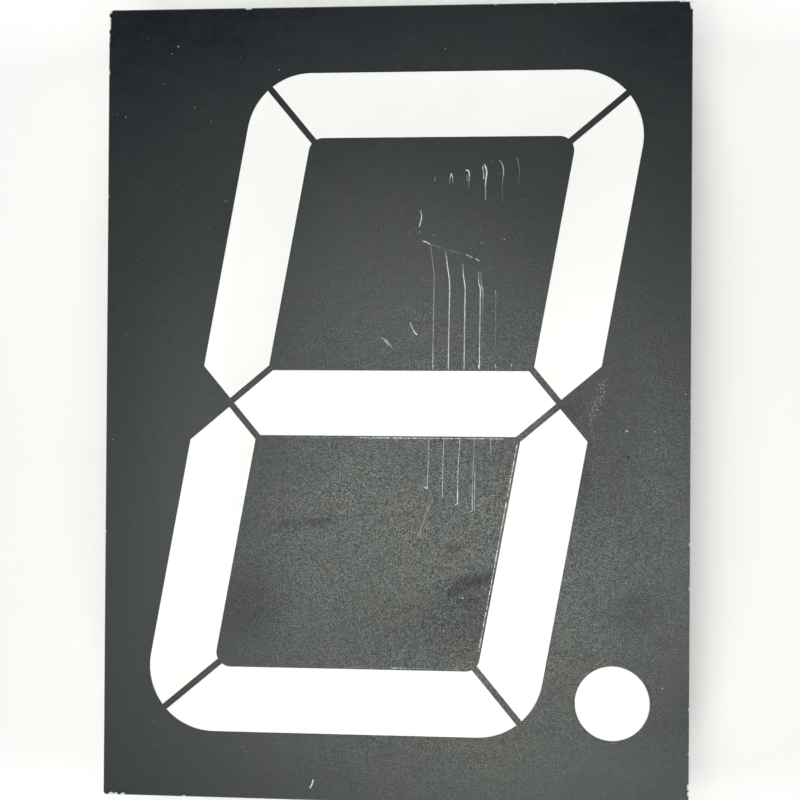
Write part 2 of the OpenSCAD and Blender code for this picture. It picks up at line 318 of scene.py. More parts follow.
def resin_look():
    """Cast white diffusing resin: glossy, faintly uneven, with a little dust."""
    k = Look("resin")
    cloud = k.noise(0.06, 3.0, 0.55)
    fine = k.noise(0.9, 3.0, 0.6)
    dust_d, dust_c = k.cells(0.45)
    pick = k.new("ShaderNodeSeparateColor")
    k.link(dust_c, pick.inputs[0])
    dust = k.mul(k.remap(dust_d, 0.02, 0.06, 1.0, 0.0), k.remap(pick.outputs[1], 0.86, 1.0), 0.35)
    tone = k.mix(k.remap(cloud, 0.3, 0.7), (0.838, 0.836, 0.826), (0.856, 0.856, 0.850))
    tone = k.mix(k.remap(fine, 0.55, 0.8, 0.0, 0.3), tone, (0.82, 0.818, 0.806))
    tone = k.mix(dust, tone, (0.62, 0.60, 0.56))
    rough = k.add(0.24, k.swing(cloud, 0.10), k.swing(fine, 0.06), k.mul(dust, 0.3))
    normal = k.bump(k.add(k.noise(0.11, 2.0, 0.5), k.mul(fine, 0.04)), 0.05, 0.5)
    return k.finish(tone, rough, normal, Specular_IOR_Level=0.5)


def plastic_look():
    """Moulded white plastic with flow marks and handling scuffs, and the edge of the black print at the front."""
    k = Look("white_plastic")
    z = k.axis(2)
    cloud = k.noise(0.035, 4.0, 0.6)
    flow = k.noise(0.3, 3.0, 0.6, k.stretch((0.25, 0.25, 1.6)))
    grain = k.noise(6.0, 2.0, 0.6)
    scuff = k.remap(k.noise(0.5, 5.0, 0.72, k.stretch((0.5, 0.5, 2.6))), 0.60, 0.72)
    tone = k.mix(k.remap(cloud, 0.3, 0.7), (0.655, 0.645, 0.612), (0.715, 0.708, 0.682))
    tone = k.mix(k.remap(flow, 0.45, 0.75, 0.0, 0.35), tone, (0.63, 0.622, 0.592))
    tone = k.mix(k.mul(scuff, 0.35), tone, (0.50, 0.49, 0.46))
    # ink that ran over the front edge, ragged and rubbed off in places
    ragged = k.add(z, k.swing(k.noise(0.8, 4.0, 0.65), 0.9), k.swing(k.noise(4.0, 2.0, 0.6), 0.25))
    over = k.remap(ragged, Z_MOULD - 0.42, Z_MOULD - 0.30)
    rubbed = k.remap(k.noise(0.42, 4.0, 0.7), 0.60, 0.66, 1.0, 0.0)
    over = k.mul(over, rubbed)
    tone = k.mix(over, tone, (0.012, 0.0135, 0.0145))
    rough = k.add(0.43, k.swing(cloud, 0.10), k.swing(grain, 0.10), k.mul(scuff, 0.12), k.mul(over, -0.04))
    normal = k.bump(k.add(grain, k.mul(flow, 1.5)), 0.006, 0.35)
    return k.finish(tone, rough, normal)


def board_look(name, base, light):
    """Green lacquer over woven glass."""
    k = Look(name)
    weave_x = k.math("SINE", k.mul(k.axis(0), 2 * math.pi / 0.42))
    weave_y = k.math("SINE", k.mul(k.axis(1), 2 * math.pi / 0.36))
    weave = k.add(k.mul(weave_x, weave_y), 0.0)
    cloud = k.noise(0.09, 4.0, 0.6)
    fine = k.noise(2.2, 3.0, 0.6)
    tone = k.mix(k.remap(cloud, 0.3, 0.7), base, light)
    tone = k.mix(k.remap(weave, -1, 1, 0.0, 0.22, smooth=False), tone, tuple(c * 0.55 for c in base))
    edge = k.remap(k.math("ABSOLUTE", k.math("SUBTRACT", k.axis(2), (BOARD_BACK + BOARD_FRONT) / 2)), 0.70, 0.78)
    tone = k.mix(edge, (0.30, 0.27, 0.12), tone)
    rough = k.add(0.30, k.swing(cloud, 0.10), k.swing(fine, 0.10))
    normal = k.bump(k.add(k.mul(weave, 0.35), fine), 0.010, 0.4)
    return k.finish(tone, rough, normal)


def track_look():
    """Copper under the lacquer: the same green, lighter and smoother."""
    k = Look("tracks")
    cloud = k.noise(0.35, 4.0, 0.6)
    fine = k.noise(3.0, 3.0, 0.6)
    tone = k.mix(k.remap(cloud, 0.3, 0.7), (0.050, 0.235, 0.085), (0.075, 0.285, 0.110))
    rough = k.add(0.27, k.swing(cloud, 0.10), k.swing(fine, 0.08))
    return k.finish(tone, rough, k.bump(fine, 0.006, 0.4))


def tin_look(name, base, dull, rough0, along=(1.0, 1.0, 1.0)):
    """Tin: bright metal with drawn lines and dull patches."""
    k = Look(name)
    drawn = k.noise(2.6, 3.0, 0.6, k.stretch(along))
    patch = k.noise(0.8, 4.0, 0.65)
    tone = k.mix(k.remap(patch, 0.40, 0.68), base, dull)
    rough = k.add(rough0, k.swing(drawn, 0.22), k.swing(patch, 0.18))
    return k.finish(tone, rough, k.bump(drawn, 0.006, 0.5), Metallic=1.0)


def silk_look():
    """White marking ink on the board, thin enough to be a little patchy."""
    k = Look("marking")
    patch = k.noise(2.4, 3.0, 0.6)
    tone = k.mix(k.remap(patch, 0.5, 0.75, 0.0, 0.5), (0.74, 0.74, 0.70), (0.42, 0.52, 0.42))
    return k.finish(tone, k.add(0.5, k.swing(patch, 0.15)), k.bump(patch, 0.008, 0.5))


def led_look():
    """Small light source: pale body with a yellow lit face."""
    k = Look("light_source")
    z = k.axis(2)
    patch = k.noise(1.6, 3.0, 0.6)
    tone = k.mix(k.remap(patch, 0.35, 0.7), (0.76, 0.74, 0.64), (0.82, 0.80, 0.72))
    tone = k.mix(k.remap(z, BOARD_FRONT + 1.78, BOARD_FRONT + 1.88), tone, (0.78, 0.62, 0.16))
    return k.finish(tone, k.add(0.36, k.swing(patch, 0.12)), k.bump(patch, 0.01, 0.4))


def floor_look():
    k = Look("pale_floor")
    cloud = k.noise(0.012, 3.0, 0.5)
    fine = k.noise(1.4, 3.0, 0.6)
    tone = k.mix(k.remap(cloud, 0.3, 0.7), (0.925, 0.925, 0.922), (0.945, 0.945, 0.943))
    k.finish(tone, k.add(0.72, k.swing(fine, 0.12)), k.bump(fine, 0.02, 0.2))
    # the sheet fades into the pale surround, and doesn't hide the back of the part from below
    far = k.new("ShaderNodeVectorMath")
    far.operation = "LENGTH"
    k.link(k.mm, far.inputs[0])
    under = k.new("ShaderNodeNewGeometry").outputs["Backfacing"]
    clear = k.math("MAXIMUM", k.remap(far.outputs["Value"], 260.0, 720.0), under)
    gone = k.new("ShaderNodeBsdfTransparent")
    join = k.new("ShaderNodeMixShader")
    k.link(clear, join.inputs[0])
    k.link(k.bsdf.outputs[0], join.inputs[1])
    k.link(gone.outputs[0], join.inputs[2])
    k.link(join.outputs[0], k.out.inputs[0])
    return k.mat


INK = ink_look()
RESIN = resin_look()
PLASTIC = plastic_look()
BOARD = board_look("lacquer", (0.014, 0.110, 0.034), (0.022, 0.140, 0.046))
TRACK = track_look()
PIN = tin_look("tinned_pin", (0.74, 0.73, 0.71), (0.52, 0.51, 0.49), 0.30, (3.2, 3.2, 0.25))
SOLDER = tin_look("solder", (0.78, 0.78, 0.78), (0.58, 0.575, 0.565), 0.26)
SILK = silk_look()
LED = led_look()


# ------------------------------------------------------------------ mesh helpers
def piece(name, bm, material, sharp_deg=None):
    me = bpy.data.meshes.new(name)
    bmesh.ops.recalc_face_normals(bm, faces=bm.faces)
    bm.to_mesh(me)
    bm.free()
    ob = bpy.data.objects.new(name, me)
    scene.collection.objects.link(ob)
    me.materials.append(material)
    if sharp_deg is not None:
        me.polygons.foreach_set("use_smooth", [True] * len(me.polygons))
        me.set_sharp_from_angle(angle=math.radians(sharp_deg))
    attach(ob, "root")
    return ob


def weighted(ob):
    m = ob.modifiers.new("even_normals", "WEIGHTED_NORMAL")
    m.keep_sharp = True
    m.weight = 80


def welded(node):
    """A copy of a node's shape, its split corners joined and its flat faces whole."""
    me = nodes[node].data.copy()
    if "custom_normal" in me.attributes:
        me.attributes.remove(me.attributes["custom_normal"])
    bm = bmesh.new()
    bm.from_mesh(me)
    bpy.data.meshes.remove(me)
    bmesh.ops.remove_doubles(bm, verts=bm.verts, dist=2e-7)
    bmesh.ops.dissolve_limit(bm, angle_limit=math.radians(0.4), verts=bm.verts, edges=bm.edges)
    for e in bm.edges:
        e.smooth = True
    return bm


def signed_area(loop):
    return 0.5 * sum(a.x * b.y - b.x * a.y for a, b in zip(loop, loop[1:] + loop[:1]))


def top_loops(node, z):
    """Boundary loops of a node's flat top, in millimetres, each counter-clockwise."""
    me = nodes[node].data
    seen = set()
    for p in me.polygons:
        vs = [me.vertices[i].co for i in p.vertices]
        if p.normal.z > 0.5 and all(abs(v.z / MM - z) < 0.004 for v in vs):
            ks = [(round(v.x * 1e6), round(v.y * 1e6)) for v in vs]
            seen.update(zip(ks, ks[1:] + ks[:1]))
    follow = {a: b for a, b in seen if (b, a) not in seen}
    loops = []
    for start in sorted(follow):
        if start not in follow:
            continue
        loop, cur = [start], follow.pop(start)
        while cur != start:
            loop.append(cur)
            cur = follow.pop(cur)
        loop = [Vector((x / 1000, y / 1000)) for x, y in loop]
        loops.append(loop if signed_area(loop) > 0 else loop[::-1])
    return sorted(loops, key=lambda l: -abs(signed_area(l)))


def rounded_rect(hx, hy, r, n=6, step=4.0):
    corners = []
    for cx, cy, a0 in ((hx - r, hy - r, 0), (-hx + r, hy - r, 90), (-hx + r, -hy + r, 180), (hx - r, -hy + r, 270)):
        corners.append([Vector((cx + r * math.cos(math.radians(a0 + 90 * i / n)), cy + r * math.sin(math.radians(a0 + 90 * i / n)))) for i in range(n + 1)])
    loop = []
    for i, c in enumerate(corners):
        loop += c
        a, b = c[-1], corners[(i + 1) % 4][0]
        m = max(1, int((b - a).length / step))
        loop += [a.lerp(b, j / m) for j in range(1, m)]
    return loop


# ------------------------------------------------------------------ worn marks and painted glint lines on the face
# Each scratch: (how strongly each stretch shows the white plastic, as a width in tenths of a pixel of the
# photograph's scale), then its points.
SCRATCHES = [
    ((1.4,), (6.11, 34.63), (6.11, 34.02)),
    ((0.9, 4.0), (8.37, 33.55), (8.45, 34.54), (8.62, 35.12)),
    ((4.5, 1.3), (8.62, 35.12), (8.82, 34.61), (8.86, 33.70)),
    ((8.3, 8.0, 2.1, 0.5), (10.90, 35.64), (11.20, 35.57), (11.39, 34.95), (11.32, 33.83), (11.25, 32.77)),
    ((1.1,), (11.05, 34.90), (11.03, 33.99)),
    ((8.4, 9.3, 6.8, 5.8, 3.3, 1.4), (13.64, 36.49), (13.92, 35.95), (14.03, 35.23), (13.91, 34.27), (13.86, 33.51), (13.86, 32.44), (13.87, 31.12)),
    ((4.2, 3.0), (13.40, 36.17), (13.52, 35.50), (13.58, 34.31)),
    ((2.3, 3.0, 3.2, 2.2, 0.9, 0.3, 0.3), (15.97, 37.09), (16.35, 36.62), (16.54, 35.99), (16.60, 35.38), (16.52, 34.56), (16.43, 33.49), (16.43, 32.28), (16.48, 30.90)),
    ((0.9, 1.4, 0.5, 0.4), (18.67, 37.51), (18.85, 36.45), (19.04, 35.67), (18.98, 34.70), (18.90, 33.63)),
    ((0.6,), (14.64, 36.92), (14.80, 37.10)),
    ((2.4, 4.5, 5.3), (3.92, 29.54), (4.11, 28.75), (4.02, 27.99), (3.78, 27.12)),
    ((5.9, 4.7), (4.35, 24.82), (4.81, 24.71), (5.33, 24.42)),
    ((0.7, 0.4, 0.3, 0.7, 0.4), (5.42, 24.36), (6.50, 24.00), (7.58, 23.62), (8.50, 23.34), (9.26, 23.19), (10.34, 22.89)),
    ((2.6, 2.9), (10.95, 22.76), (11.49, 22.51), (11.93, 22.26)),
    ((3.6,), (12.42, 22.17), (12.94, 21.80)),
    ((1.0, 1.3, 1.6, 1.8, 1.7, 2.0, 1.3, 3.4), (5.52, 24.16), (5.81, 21.79), (6.10, 19.34), (6.08, 17.51), (6.05, 15.52), (6.02, 13.23), (6.01, 10.94), (5.99, 8.19), (6.00, 5.29)),
    ((1.6, 4.1, 5.6, 5.7, 5.3, 5.0, 4.5, 3.9, 3.5, 4.9, 4.4), (7.79, 23.16), (7.98, 22.24), (8.11, 21.02), (8.31, 19.80), (8.45, 18.73), (8.48, 17.20), (8.47, 15.52), (8.44, 14.00), (8.42, 12.47), (8.39, 10.18), (8.37, 7.74), (8.36, 5.22)),
    ((1.3, 3.2, 6.4, 5.2, 4.6, 4.5, 4.0, 3.8, 4.4), (10.47, 21.32), (10.54, 20.25), (10.59, 19.34), (10.76, 18.42), (10.85, 17.20), (10.83, 15.52), (10.82, 14.00), (10.80, 11.25), (10.78, 8.20), (10.77, 5.31)),
    ((1.7, 6.4, 6.2, 5.2, 3.9, 3.2, 3.4, 4.5), (12.89, 20.10), (12.93, 18.42), (13.15, 17.66), (13.19, 16.82), (13.16, 15.52), (13.16, 14.00), (13.13, 11.26), (13.11, 8.21), (13.11, 5.32)),
    ((1.1, 4.0, 1.7, 0.3), (13.20, 20.10), (13.36, 18.12), (13.57, 17.20), (13.56, 15.07), (13.57, 12.48)),
    ((0.3, 0.2), (13.55, 11.87), (13.52, 8.21), (13.51, 5.32)),
    ((2.0, 0.6, 0.6, 0.3), (15.47, 17.35), (15.55, 16.36), (15.54, 14.00), (15.52, 11.26), (15.53, 8.58)),
    ((8.2,), (12.92, 5.85), (13.11, 5.41)),
    ((3.6,), (15.48, 6.03), (15.64, 5.48)),
    ((2.4,), (17.91, 6.13), (18.04, 5.73)),
    ((4.0, 2.9, 9.8), (2.46, 12.31), (2.78, 11.54), (3.09, 10.96), (3.49, 10.51)),
    ((2.6, 4.2, 2.5), (-1.94, 10.10), (-1.52, 9.72), (-1.10, 9.20), (-0.80, 8.86)),
    ((2.2, 3.6, 2.0), (-1.30, 9.86), (-0.98, 9.42), (-0.58, 8.90), (-0.30, 8.42)),
    ((1.2, 2.0, 1.4), (6.04, -14.53), (5.30, -16.50), (4.62, -18.20), (3.95, -20.25)),
    ((1.6, 1.5, 1.9, 2.3, 3.8), (5.42, -5.41), (5.40, -7.09), (5.38, -8.71), (5.33, -9.84), (5.29, -10.91), (5.24, -13.04)),
    ((1.0,), (4.80, -11.06), (4.78, -11.83)),
    ((2.5, 2.3, 2.6, 2.9, 2.2), (7.77, -5.39), (7.69, -7.07), (7.62, -8.69), (7.61, -10.88), (7.59, -12.71), (7.60, -14.39)),
    ((3.4, 2.8, 2.8, 3.2, 3.8, 5.3), (10.23, -5.28), (10.13, -6.59), (10.06, -7.96), (9.97, -9.64), (9.92, -11.16), (9.90, -13.30), (9.88, -15.13)),
    ((5.0,), (9.88, -15.22), (9.56, -15.43)),
    ((1.5, 2.0, 1.5, 1.6, 2.2, 3.1), (12.44, -5.26), (12.36, -7.03), (12.30, -9.01), (12.21, -10.99), (12.14, -12.97), (12.15, -14.64), (12.17, -16.27)),
    ((2.8,), (12.15, -16.32), (11.85, -16.50)),
    ((2.2, 3.0, 2.1), (12.56, -9.61), (12.49, -11.59), (12.47, -13.88), (12.49, -16.31)),
    ((3.2,), (14.90, -5.18), (14.91, -7.46)),
    ((9.0, 10.2, 6.4), (-12.04, -57.90), (-12.16, -58.39), (-12.34, -58.80), (-12.51, -59.09)),
]
# Small light specks (x, y, radius, strength) and dark dots of dirt.
SPECKS = [
    (-34.00, 55.19, 0.16, 0.55), (-35.06, 54.04, 0.12, 0.40), (-42.27, 44.32, 0.13, 0.45), (-36.24, 49.39, 0.12, 0.30),
    (-26.36, 31.14, 0.13, 0.40), (-18.11, 51.36, 0.13, 0.35), (-31.36, 45.68, 0.12, 0.35), (-28.77, 43.48, 0.12, 0.30),
    (7.57, 54.29, 0.13, 0.40), (13.27, 24.47, 0.13, 0.40), (16.78, 25.09, 0.13, 0.40), (3.78, 26.23, 0.13, 0.45),
    (2.25, 26.24, 0.12, 0.35), (5.98, 25.76, 0.12, 0.35), (5.00, -12.85, 0.22, 0.85), (10.76, -29.62, 0.13, 0.85),
    (7.90, -34.64, 0.14, 0.45), (35.47, -3.98, 0.20, 0.80), (31.04, -0.81, 0.16, 0.40), (30.61, -5.05, 0.14, 0.35),
    (39.70, -4.00, 0.13, 0.40), (34.70, -1.70, 0.12, 0.35), (44.20, 1.70, 0.14, 0.45),
    (41.00, -42.65, 0.15, 0.55), (7.16, -33.38, 0.14, 0.35), (13.08, -15.59, 0.14, 0.35),
    (-41.86, 10.53, 0.12, 0.30), (-42.12, 10.27, 0.11, 0.14), (-43.95, -5.86, 0.12, 0.32), (-44.20, 9.48, 0.11, 0.20),
]
STAINS = [(-2.53, 26.49, 0.30, 1.0), (35.76, -7.95, 0.31, 1.0), (44.49, 1.91, 0.26, 1.0), (-35.25, 9.61, 0.36, 0.6)]
# Chips on the outer edge: two points on the edge, and how far the chip reaches in.
CHIPS = [
    ((-44.95, 60.75), (-44.75, 60.95), 0.42), ((-45.0, 59.75), (-45.0, 58.15), 0.30), ((-23.25, 61.0), (-22.65, 61.0), 0.30),
    ((44.8, 60.95), (44.98, 60.0), 0.42), ((43.1, 61.0), (44.6, 61.0), 0.24),
    ((-44.0, -61.0), (-43.7, -60.9), 0.34), ((-43.25, -61.0), (-43.0, -60.9), 0.30), ((-42.1, -61.0), (-41.8, -60.9), 0.30),
    ((45.0, -57.2), (45.0, -57.7), 0.30), ((45.0, -58.3), (45.0, -58.6), 0.28),
]
edge_rng = random.Random(7)
y = 3.4
while y > -60.0:                        # worn right edge, in dashes
    run = edge_rng.uniform(0.08, 0.45)
    CHIPS.append(((HX, y), (HX, y - run), edge_rng.uniform(0.15, 0.21)))
    y -= run + (edge_rng.uniform(0.35, 1.0) if y > -14 else edge_rng.uniform(0.8, 4.5))
for edge_y in (HY, -HY):                # a few on the top and bottom edges
    for _ in range(9):
        x = edge_rng.uniform(-HX + 2, HX - 2)
        CHIPS.append(((x, edge_y), (x + edge_rng.uniform(0.1, 0.4), edge_y), edge_rng.uniform(0.15, 0.22)))
for _ in range(14):                     # and on the left one
    y = edge_rng.uniform(-HY + 2, HY - 2)
    CHIPS.append(((-HX, y), (-HX, y - edge_rng.uniform(0.1, 0.5)), edge_rng.uniform(0.15, 0.22)))

# the strokes' straight edges, used by the painted glint lines beside them
G_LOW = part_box("segment_g")[0].y / MM
D_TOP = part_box("segment_d")[0].y / MM + 10.05
TAN_S = math.tan(math.radians(10.2))


def c_inner(y):
    """Inner edge of the lower right stroke at height y."""
    return 20.389 + y * TAN_S


def smooth_path(points, step=0.32):
    """Catmull-Rom through the points, with each sample's place along the original stretches."""
    p = [Vector(q) for q in points]
    ext = [2 * p[0] - p[1]] + p + [2 * p[-1] - p[-2]]
    out, at = [], []
    for i in range(1, len(ext) - 2):
        a, b, c, d = ext[i - 1:i + 3]
        n = max(2, int(math.ceil((c - b).length / step)))
        for j in range(n):
            t = j / n
            out.append(0.5 * (2 * b + (c - a) * t + (2 * a - 5 * b + 4 * c - d) * t * t + (3 * b - a - 3 * c + d) * t ** 3))
            at.append(i - 1 + t)
    out.append(p[-1])
    at.append(len(p) - 1.0)
    return out, at


class Marks:
    """Wear marks and painted glint lines as stretches with a half width and a strength, which set the lines of the
    face mesh.
    """

    def __init__(self):
        self.points, self.edges = [], []
        self.a, self.b, self.hw, self.pa, self.pb, self.plateau, self.depth = ([] for _ in range(7))

    def chain(self, pts, closed=False):
        base = len(self.points)
        self.points += pts
        self.edges += [(base + i, base + i + 1) for i in range(len(pts) - 1)]
        if closed:
            self.edges.append((base + len(pts) - 1, base))

    def stretch(self, a, b, hw, pa, pb, plateau, depth):
        for store, v in ((self.a, tuple(a)), (self.b, tuple(b)), (self.hw, hw), (self.pa, pa), (self.pb, pb), (self.plateau, plateau), (self.depth, depth)):
            store.append(v)

    def line(self, pts, strength, hw, depth):
        """A groove: its middle line, and its two sides meeting at both ends."""
        n = len(pts)
        side = []
        for i, p in enumerate(pts):
            t = (pts[min(i + 1, n - 1)] - pts[max(i - 1, 0)]).normalized()
            side.append(Vector((-t.y, t.x)))
        self.chain(pts)
        head, tail = pts[0] - (pts[1] - pts[0]).normalized() * hw, pts[-1] + (pts[-1] - pts[-2]).normalized() * hw
        self.chain([head] + [p + s * hw for p, s in zip(pts, side)] + [tail] + [p - s * hw for p, s in zip(pts[::-1], side[::-1])], closed=True)
        for i in range(n - 1):
            self.stretch(pts[i], pts[i + 1], hw * 0.93, strength[i], strength[i + 1], 0.0, depth)

    def dot(self, c, r, strength, depth=0.0, plateau=0.35, n=9):
        c = Vector(c)
        wob = [rng.uniform(0.8, 1.2) for _ in range(n)]
        for f in (1.0, plateau):
            self.chain([c + Vector((math.cos(2 * math.pi * i / n), math.sin(2 * math.pi * i / n))) * r * f * wob[i] for i in range(n)], closed=True)
        self.points.append(c)
        self.stretch(c, c, r * 0.75, strength, strength, plateau, depth)

    def chip(self, a, b, reach):
        a, b = Vector(a), Vector(b)
        t = (b - a).normalized()
        s = Vector((-t.y, t.x))
        ang = math.atan2(t.y, t.x)
        for f in (1.0, 0.62):
            r = reach * f
            right = [b + r * rng.uniform(0.85, 1.15) * Vector((math.cos(ang + x), math.sin(ang + x))) for x in (-1.3, -0.7, 0, 0.7, 1.3)]
            left = [a - r * rng.uniform(0.85, 1.15) * Vector((math.cos(ang + x), math.sin(ang + x))) for x in (-1.3, -0.7, 0, 0.7, 1.3)]
            self.chain(right + left, closed=True)
        self.stretch(a, b, reach * 0.8, 1.0, 1.0, 0.62, 0.07)

    def at(self, pts):
        """Wear (with the painted glint lines) and depth at each point."""
        a, b = np.array(self.a), np.array(self.b)
        hw, pa, pb = (np.array(v) for v in (self.hw, self.pa, self.pb))
        plateau, depth = np.array(self.plateau), np.array(self.depth)
        ab = b - a
        ll = np.maximum((ab ** 2).sum(1), 1e-12)
        wear_and_glint, deep = np.zeros(len(pts)), np.zeros(len(pts))
        for i0 in range(0, len(pts), 500):
            p = pts[i0:i0 + 500, None, :]
            t = np.clip(((p - a) * ab).sum(2) / ll, 0, 1)
            d = np.sqrt(((p - a - ab * t[..., None]) ** 2).sum(2))
            f = np.clip((1 - d / hw) / (1 - plateau), 0, 1)
            w = f * (pa + (pb - pa) * t)
            pick = np.abs(w).argmax(1)
            rows = np.arange(len(pick))
            wear_and_glint[i0:i0 + 500] = w[rows, pick]
            deep[i0:i0 + 500] = (f * np.minimum(1, np.abs(pa)) * depth).max(1)
        wear_and_glint[np.abs(wear_and_glint) < 1e-4] = 0
        return wear_and_glint, deep


PX = 0.1528                              # millimetres in one pixel of the photograph, on the face
marks = Marks()
for strengths, *points in SCRATCHES:
    pts, at = smooth_path(points)
    eq = []
    for t in at:                         # strength along the scratch, eased between its stretches
        i = min(len(strengths) - 1, max(0, t - 0.5))
        lo = int(i)
        hi = min(lo + 1, len(strengths) - 1)
        eq.append(0.1 * (strengths[lo] + (strengths[hi] - strengths[lo]) * (i - lo)))
    peak = max(eq)
    half = min(0.16, 0.060 + 0.095 * peak)
    power = [min(1.0, 1.3 * e * PX / half) * rng.uniform(0.74, 1.26) for e in eq]
    marks.line(pts, [min(1.0, w) for w in power], half, 0.025)
for x, y, r, w in SPECKS:
    marks.dot((x, y), r, w)
for x, y, r, w in STAINS:
    marks.dot((x, y), r, -w)
for a, b, reach in CHIPS:
    marks.chip(a, b, reach)


def dashes(a, b, strength, seed, fill=0.6, half=0.07):
    """A thin painted glint line in dashes from a to b, drawn as bare white plastic."""
    r = random.Random(seed)
    a, b = Vector(a), Vector(b)
    length, t = (b - a).length, 0.0
    while t < length:
        run = r.uniform(0.25, 1.3)
        if r.random() < fill:
            t1 = min(length, t + run)
            p, q = a.lerp(b, t / length), a.lerp(b, t1 / length)
            w = strength * r.uniform(0.55, 1.0)
            if (q - p).length > 0.12:
                marks.line([p, p.lerp(q, 0.5), q], [w * 0.7, w, w * 0.7], half, 0.012)
        t += run + r.uniform(0.05, 0.3)


scuff = random.Random(19)
for _ in range(60):                      # short squiggles of the scuff beside the strokes' meeting point
    t = scuff.uniform(-1, 1)
    c = Vector((31.0 + 1.0 * t + scuff.gauss(0, 0.50), 0.2 + 3.2 * t + scuff.gauss(0, 0.5)))
    ang, size = scuff.uniform(0, math.pi), scuff.uniform(0.08, 0.20)
    d = Vector((math.cos(ang), math.sin(ang))) * size
    w = scuff.uniform(0.10, 0.44)
    marks.line([c - d, c + Vector((-d.y, d.x)) * scuff.uniform(-0.5, 0.5), c + d], [w * 0.6, w, w * 0.6], 0.06, 0.01)

# painted glints: dashed light lines just outside the middle stroke's lower edge, the lower right stroke's inner edge
# and the bottom stroke's upper edge, standing in for light caught by the window edges
RIM = 0.28
dashes((-5.2, G_LOW - RIM), (4.2, G_LOW - RIM), 1.0, 3, 0.95, 0.125)
dashes((4.3, G_LOW - RIM), (16.8, G_LOW - RIM), 0.80, 4, 0.9, 0.105)
dashes((-17.5, G_LOW - RIM), (-5.4, G_LOW - RIM), 0.30, 8, 0.5)
dashes((c_inner(-6.2) - 0.36, -6.2), (c_inner(-24.0) - 0.36, -24.0), 1.0, 5, 0.95, 0.13)
dashes((c_inner(-24.2) - 0.34, -24.2), (c_inner(-38.0) - 0.34, -38.0), 0.95, 9, 0.9, 0.12)
dashes((7.4, D_TOP + RIM), (11.2, D_TOP + RIM), 0.30, 6, 0.7)
dashes((-6.4, D_TOP + RIM), (-0.2, D_TOP + RIM), 0.36, 11, 0.85)
dashes((0.0, D_TOP + RIM), (2.2, D_TOP + RIM), 0.95, 12, 0.9, 0.10)
dashes((2.4, D_TOP + RIM), (5.8, D_TOP + RIM), 0.55, 13, 0.75)


# ------------------------------------------------------------------ printed face
def build_face():
    inset_top, inset_mid, inset_low = 0.13, 0.045, 0.01
    windows = top_loops("face_print", Z_FACE)[1:]
    outer = rounded_rect(HX - inset_top, HY - inset_top, 0.42)
    pts, faces = [], []
    for loop in [outer] + windows:
        faces.append(list(range(len(pts), len(pts) + len(loop))))
        pts += loop
    base = len(pts)
    pts += marks.points
    edges = [(a + base, b + base) for a, b in marks.edges]
    v2, _, tri, _, _, owner = delaunay_2d_cdt(pts, edges, faces, 0, 1e-5, True)
    keep = [f for f, o in zip(tri, owner) if 0 in o and not any(0 < i <= len(windows) for i in o)]
    used = sorted({i for f in keep for i in f})
    index = {i: n for n, i in enumerate(used)}
    xy = np.array([v2[i] for i in used])
    wear_and_glint, deep = marks.at(xy)

    bm = bmesh.new()
    # per vertex: scratches, chips, specks, stains and the painted glint lines
    layer = bm.verts.layers.float.new("wear_and_glint")
    top, low = [], []
    for (x, y), w, d in zip(xy, wear_and_glint, deep):
        v = bm.verts.new((x * MM, y * MM, (Z_FACE - min(d, 0.08)) * MM))
        v[layer] = w
        top.append(v)
    count = {}
    for f in keep:
        f = [index[i] for i in f]
        bm.faces.new([top[i] for i in f])
        for a, b in zip(f, f[1:] + f[:1]):
            count[(a, b)] = 1
    rim = {a: b for a, b in count if (b, a) not in count}

    hx, hy, r = HX - inset_top, HY - inset_top, 0.42

    def outward(i, by):
        x, y = xy[i]
        if max(abs(x) - hx, abs(y) - hy) < -0.6:
            return x, y
        cx, cy = math.copysign(hx - r, x), math.copysign(hy - r, y)
        if abs(x) > hx - r and abs(y) > hy - r:
            d = Vector((x - cx, y - cy)).normalized()
            return x + d.x * by, y + d.y * by
        if hx - abs(x) < hy - abs(y):
            return x + math.copysign(by, x), y
        return x, y + math.copysign(by, y)

    on_edge = {i for i in rim if hx - abs(xy[i][0]) < 0.45 or hy - abs(xy[i][1]) < 0.45}
    for i, (x, y) in enumerate(xy):
        bx, by = outward(i, inset_top - inset_low) if i in on_edge else (x, y)
        v = bm.verts.new((bx * MM, by * MM, Z_MOULD * MM))
        v[layer] = wear_and_glint[i] if i in on_edge else 0.0
        low.append(v)
    mid = {}
    for i in on_edge:
        mx, my = outward(i, inset_top - inset_mid)
        z = Z_FACE - min(deep[i], 0.08)
        mid[i] = bm.verts.new((mx * MM, my * MM, (z * 0.62 + Z_MOULD * 0.38) * MM))
        mid[i][layer] = wear_and_glint[i]
    for f in keep:
        bm.faces.new([low[index[i]] for i in reversed(f)])
    for a, b in rim.items():
        if a in on_edge and b in on_edge:
            bm.faces.new((top[b], top[a], mid[a], mid[b]))
            bm.faces.new((mid[b], mid[a], low[a], low[b]))
        else:
            bm.faces.new((top[b], top[a], low[a], low[b]))
    ob = piece("face_ink", bm, INK)
    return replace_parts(ob, "face_print")


face = build_face()


# ------------------------------------------------------------------ resin fills
def inward(loop, by):
    """A counter-clockwise loop moved in by a small distance, mitred at its corners."""
    out = []
    n = len(loop)
    for i, p in enumerate(loop):
        d0, d1 = (p - loop[i - 1]).normalized(), (loop[(i + 1) % n] - p).normalized()
        t = (d0 + d1).normalized()
        out.append(p + Vector((-t.y, t.x)) * (by / max(0.35, t.dot(d1))))
    return out


def edge_distance(points, loop):
    """Distance of each point from a loop's line."""
    a = np.array([tuple(v) for v in loop])
    ab = np.roll(a, -1, axis=0) - a
    p = np.array([tuple(v) for v in points])[:, None, :]
    t = np.clip(((p - a) * ab).sum(2) / (ab ** 2).sum(1), 0, 1)
    return np.sqrt(((p - a - ab * t[..., None]) ** 2).sum(2)).min(1)


